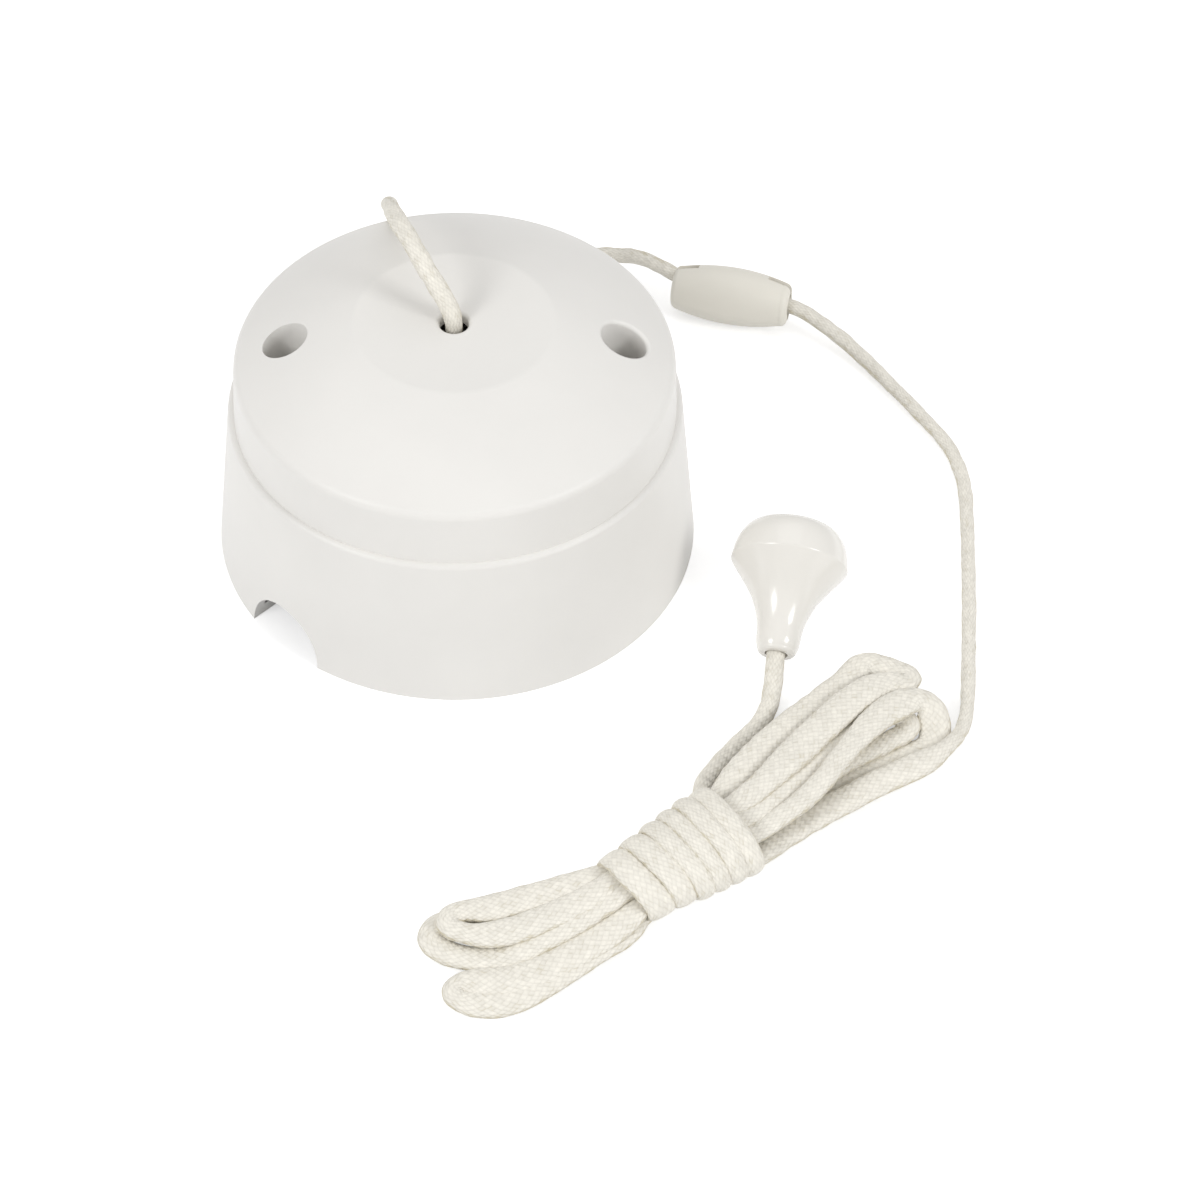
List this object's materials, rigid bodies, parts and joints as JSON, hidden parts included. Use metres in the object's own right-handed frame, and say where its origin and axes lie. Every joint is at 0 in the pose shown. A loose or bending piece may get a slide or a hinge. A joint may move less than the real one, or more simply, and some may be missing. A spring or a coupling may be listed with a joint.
{
  "type": "ceiling pull cord switch",
  "caption": "Round ceiling switch in white plastic with a deep base, a domed cover with screw wells, a braided pull cord with a barrel connector, a tied hank of spare cord and an acorn pull.",
  "frame": {"origin": "centre of the base's ceiling face, on the cord's axis", "axes": "+Z out of the cover along the cord's axis, X through the two cover screws, and the cord lies on the plane of the ceiling face"},
  "size_m": [0.1406, 0.1905, 0.0652],
  "materials": {
    "housing_plastic": "satin moulded urea",
    "frame_plastic": "plain moulded nylon",
    "plate_plastic": "moulded insulating plate",
    "cam_plastic": "plain moulded acetal",
    "connector_plastic": "fine satin moulding",
    "acorn_plastic": "polished moulding",
    "braided_cord": "tight braid with a slight sheen",
    "screw_steel": "zinc plated",
    "spring_steel": "bright drawn wire and strip",
    "contact_silver": "silver alloy button",
    "terminal_brass": "plain machined brass"
  },
  "bodies": {
    "housing": {"base": "housing_plastic", "cover": "housing_plastic", "cover_screws": "screw_steel", "screw_inserts": "terminal_brass", "mechanism_frame": "frame_plastic", "frame_screws": "screw_steel", "terminal_plate": "plate_plastic", "plate_screws": "screw_steel", "loop_terminal": "terminal_brass", "common_terminal": "terminal_brass", "first_way_terminal": "terminal_brass", "second_way_terminal": "terminal_brass", "terminal_screws": "screw_steel", "fixed_contacts": "contact_silver", "return_spring": "spring_steel", "cam_spindle": "screw_steel", "lever_pin": "screw_steel", "contact_spring": "spring_steel"},
    "pull": {"pull_plunger": "frame_plastic", "drive_pawl": "spring_steel", "pawl_rivet": "terminal_brass", "upper_cord": "braided_cord", "connector_front_half": "connector_plastic", "connector_rear_half": "connector_plastic", "lower_cord": "braided_cord", "cord_hank": "braided_cord", "acorn_cord": "braided_cord", "acorn": "acorn_plastic"},
    "ratchet": {"ratchet_cam": "cam_plastic"},
    "contact": {"contact_lever": "terminal_brass", "moving_contacts": "contact_silver"}
  },
  "joints": [
    {"name": "cord_pull", "type": "slide", "parent": "housing", "child": "pull", "axis": [0, 0, 1], "range_m": [0, 0.006], "stiffness_N_per_m": 500, "springref_m": -0.005, "deforming": ["return_spring"]},
    {"name": "ratchet_turn", "type": "hinge", "parent": "housing", "child": "ratchet", "pos_m": [0, 0.01554, 0.01951], "axis": [-1, 0, 0], "range_deg": [0, 45]},
    {"name": "contact_rock", "type": "hinge", "parent": "housing", "child": "contact", "pos_m": [0, 0.00854, 0.01271], "axis": [-1, 0, 0], "range_deg": [0, 13.2], "deforming": ["contact_spring"]}
  ],
  "couplings": [
    {"joint": "ratchet_turn", "follows": "cord_pull", "rad_per_m": 130.89},
    {"joint": "contact_rock", "follows": "cord_pull", "rad_per_m": 38.1}
  ]
}
